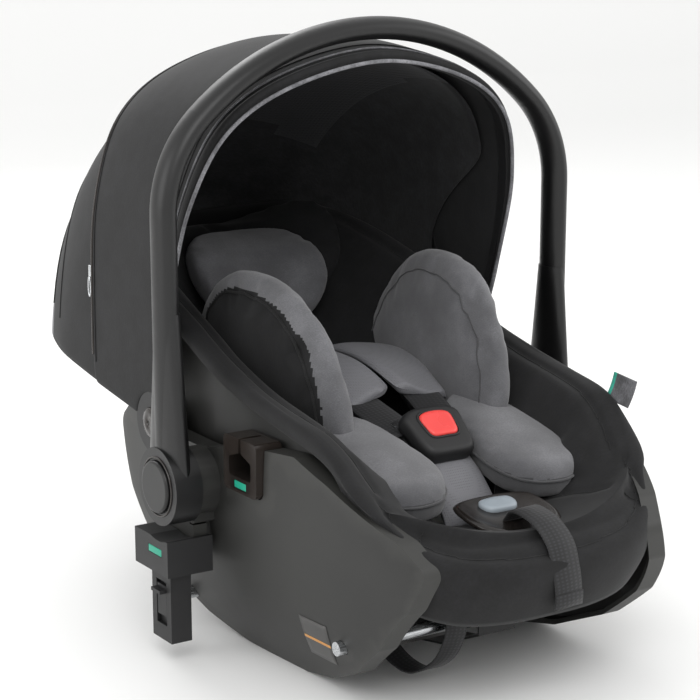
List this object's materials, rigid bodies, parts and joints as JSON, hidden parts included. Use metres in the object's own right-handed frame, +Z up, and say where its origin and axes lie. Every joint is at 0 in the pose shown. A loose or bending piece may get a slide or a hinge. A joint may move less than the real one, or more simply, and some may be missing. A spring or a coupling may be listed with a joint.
{
  "type": "infant car seat",
  "caption": "Rocking infant carrier seat with swinging carry handle, folding hood, padded newborn inlay, buckled harness and clip-on pram adapters.",
  "frame": {"origin": "on the floor under the rocker runners, at the middle of the overall length and width", "axes": "+Z up, +Y towards the head end, so the child faces -Y; X = 0 is the plane of symmetry; azimuth 0 looks along +Y with +X to the right"},
  "size_m": [0.442, 0.6996, 0.546],
  "materials": {
    "shell_plastic": "satin charcoal polypropylene, fine moulded grain",
    "handle_plastic": "satin black glass-filled nylon",
    "soft_black": "black moulded plastic, matt",
    "bar_steel": "bright zinc-plated steel bar",
    "spring_steel": "plain spring steel",
    "black_fabric": "black woven polyester over foam",
    "melange_fabric": "grey melange jersey over padding",
    "hood_fabric": "black plain-weave polyester, wired edge",
    "hood_mesh": "dark grey air mesh",
    "piping": "grey edge binding",
    "webbing": "black polyester harness webbing",
    "foam": "expanded polystyrene beads",
    "red_plastic": "red press button",
    "grey_button": "blue-grey press button",
    "tag_fabric": "woven white tape label, blank",
    "zip_metal": "silver zip puller"
  },
  "bodies": {
    "shell": {"adjuster_bezel": "soft_black", "adjuster_clamp": "soft_black", "adjuster_strap": "webbing", "back_cushion": "black_fabric", "base_bar_front": "bar_steel", "base_bar_rear": "bar_steel", "belt_guide_left": "shell_plastic", "belt_guide_right": "shell_plastic", "buckle_housing": "soft_black", "buckle_tongue_left": "bar_steel", "buckle_tongue_right": "bar_steel", "crotch_pad": "melange_fabric", "crotch_strap": "webbing", "foam_liner": "foam", "front_rim_pad": "black_fabric", "handle_axle_left": "bar_steel", "handle_axle_right": "bar_steel", "handle_lock_spring_left": "spring_steel", "handle_lock_spring_right": "spring_steel", "harness_strap_left": "webbing", "harness_strap_right": "webbing", "harness_tail_strap": "webbing", "harness_yoke": "bar_steel", "hood_rear_bow": "soft_black", "hood_rear_fabric": "hood_fabric", "hood_rear_mesh": "hood_mesh", "inlay_back_pad": "melange_fabric", "inlay_seat_panel": "melange_fabric", "inlay_thigh_pad_left": "melange_fabric", "inlay_thigh_pad_right": "melange_fabric", "inlay_wing_left": "melange_fabric", "inlay_wing_right": "melange_fabric", "seat_cushion": "black_fabric", "seat_shell": "shell_plastic", "shoulder_pad_left": "melange_fabric", "shoulder_pad_right": "melange_fabric", "side_bolster_left": "black_fabric", "side_bolster_right": "black_fabric", "side_panel_left": "shell_plastic", "side_panel_right": "shell_plastic", "size_tag": "tag_fabric"},
    "handle": {"handle_bail": "handle_plastic", "handle_lock_gear_left": "handle_plastic", "handle_lock_gear_right": "handle_plastic"},
    "handle_release_left": {"handle_button_left": "handle_plastic"},
    "handle_release_right": {"handle_button_right": "handle_plastic"},
    "hood": {"hood_front_fabric": "hood_fabric", "hood_front_bow": "soft_black", "hood_rim_band": "piping", "zip_pull": "zip_metal"},
    "headrest": {"headrest_board": "soft_black", "headrest_pad": "black_fabric", "inlay_head_pad": "melange_fabric"},
    "buckle_press": {"buckle_button": "red_plastic"},
    "adjuster_press": {"adjuster_button": "grey_button"},
    "adapter_left": {"adapter_body_left": "soft_black"},
    "adapter_right": {"adapter_body_right": "soft_black"},
    "adapter_latch_left": {"adapter_lever_left": "soft_black"},
    "adapter_latch_right": {"adapter_lever_right": "soft_black"}
  },
  "joints": [
    {"name": "handle_swing", "type": "hinge", "parent": "shell", "child": "handle", "pos_m": [0, -0.06533, 0.158], "axis": [1, 0, 0], "range_deg": [0, 110]},
    {"name": "handle_press_left", "type": "slide", "parent": "handle", "child": "handle_release_left", "axis": [1, 0, 0], "range_m": [0, 0.0035], "stiffness_N_per_m": 800},
    {"name": "handle_press_right", "type": "slide", "parent": "handle", "child": "handle_release_right", "axis": [-1, 0, 0], "range_m": [0, 0.0035], "stiffness_N_per_m": 800},
    {"name": "hood_fold", "type": "hinge", "parent": "shell", "child": "hood", "pos_m": [0, 0.02067, 0.19], "axis": [1, 0, 0], "range_deg": [-45, 0]},
    {"name": "headrest_height", "type": "slide", "parent": "shell", "child": "headrest", "axis": [0, 0.7771, 0.6293], "range_m": [0, 0.02]},
    {"name": "buckle_release", "type": "slide", "parent": "shell", "child": "buckle_press", "axis": [0, 0, -1], "range_m": [0, 0.003], "stiffness_N_per_m": 900},
    {"name": "adjuster_release", "type": "slide", "parent": "shell", "child": "adjuster_press", "axis": [0, 0, -1], "range_m": [0, 0.003], "stiffness_N_per_m": 900},
    {"name": "adapter_unclip_left", "type": "slide", "parent": "shell", "child": "adapter_left", "axis": [0, 0, -1], "range_m": [0, 0.015]},
    {"name": "adapter_lever_left", "type": "slide", "parent": "adapter_left", "child": "adapter_latch_left", "axis": [0, 0, 1], "range_m": [0, 0.003], "stiffness_N_per_m": 500},
    {"name": "adapter_unclip_right", "type": "slide", "parent": "shell", "child": "adapter_right", "axis": [0, 0, -1], "range_m": [0, 0.015]},
    {"name": "adapter_lever_right", "type": "slide", "parent": "adapter_right", "child": "adapter_latch_right", "axis": [0, 0, 1], "range_m": [0, 0.003], "stiffness_N_per_m": 500}
  ]
}
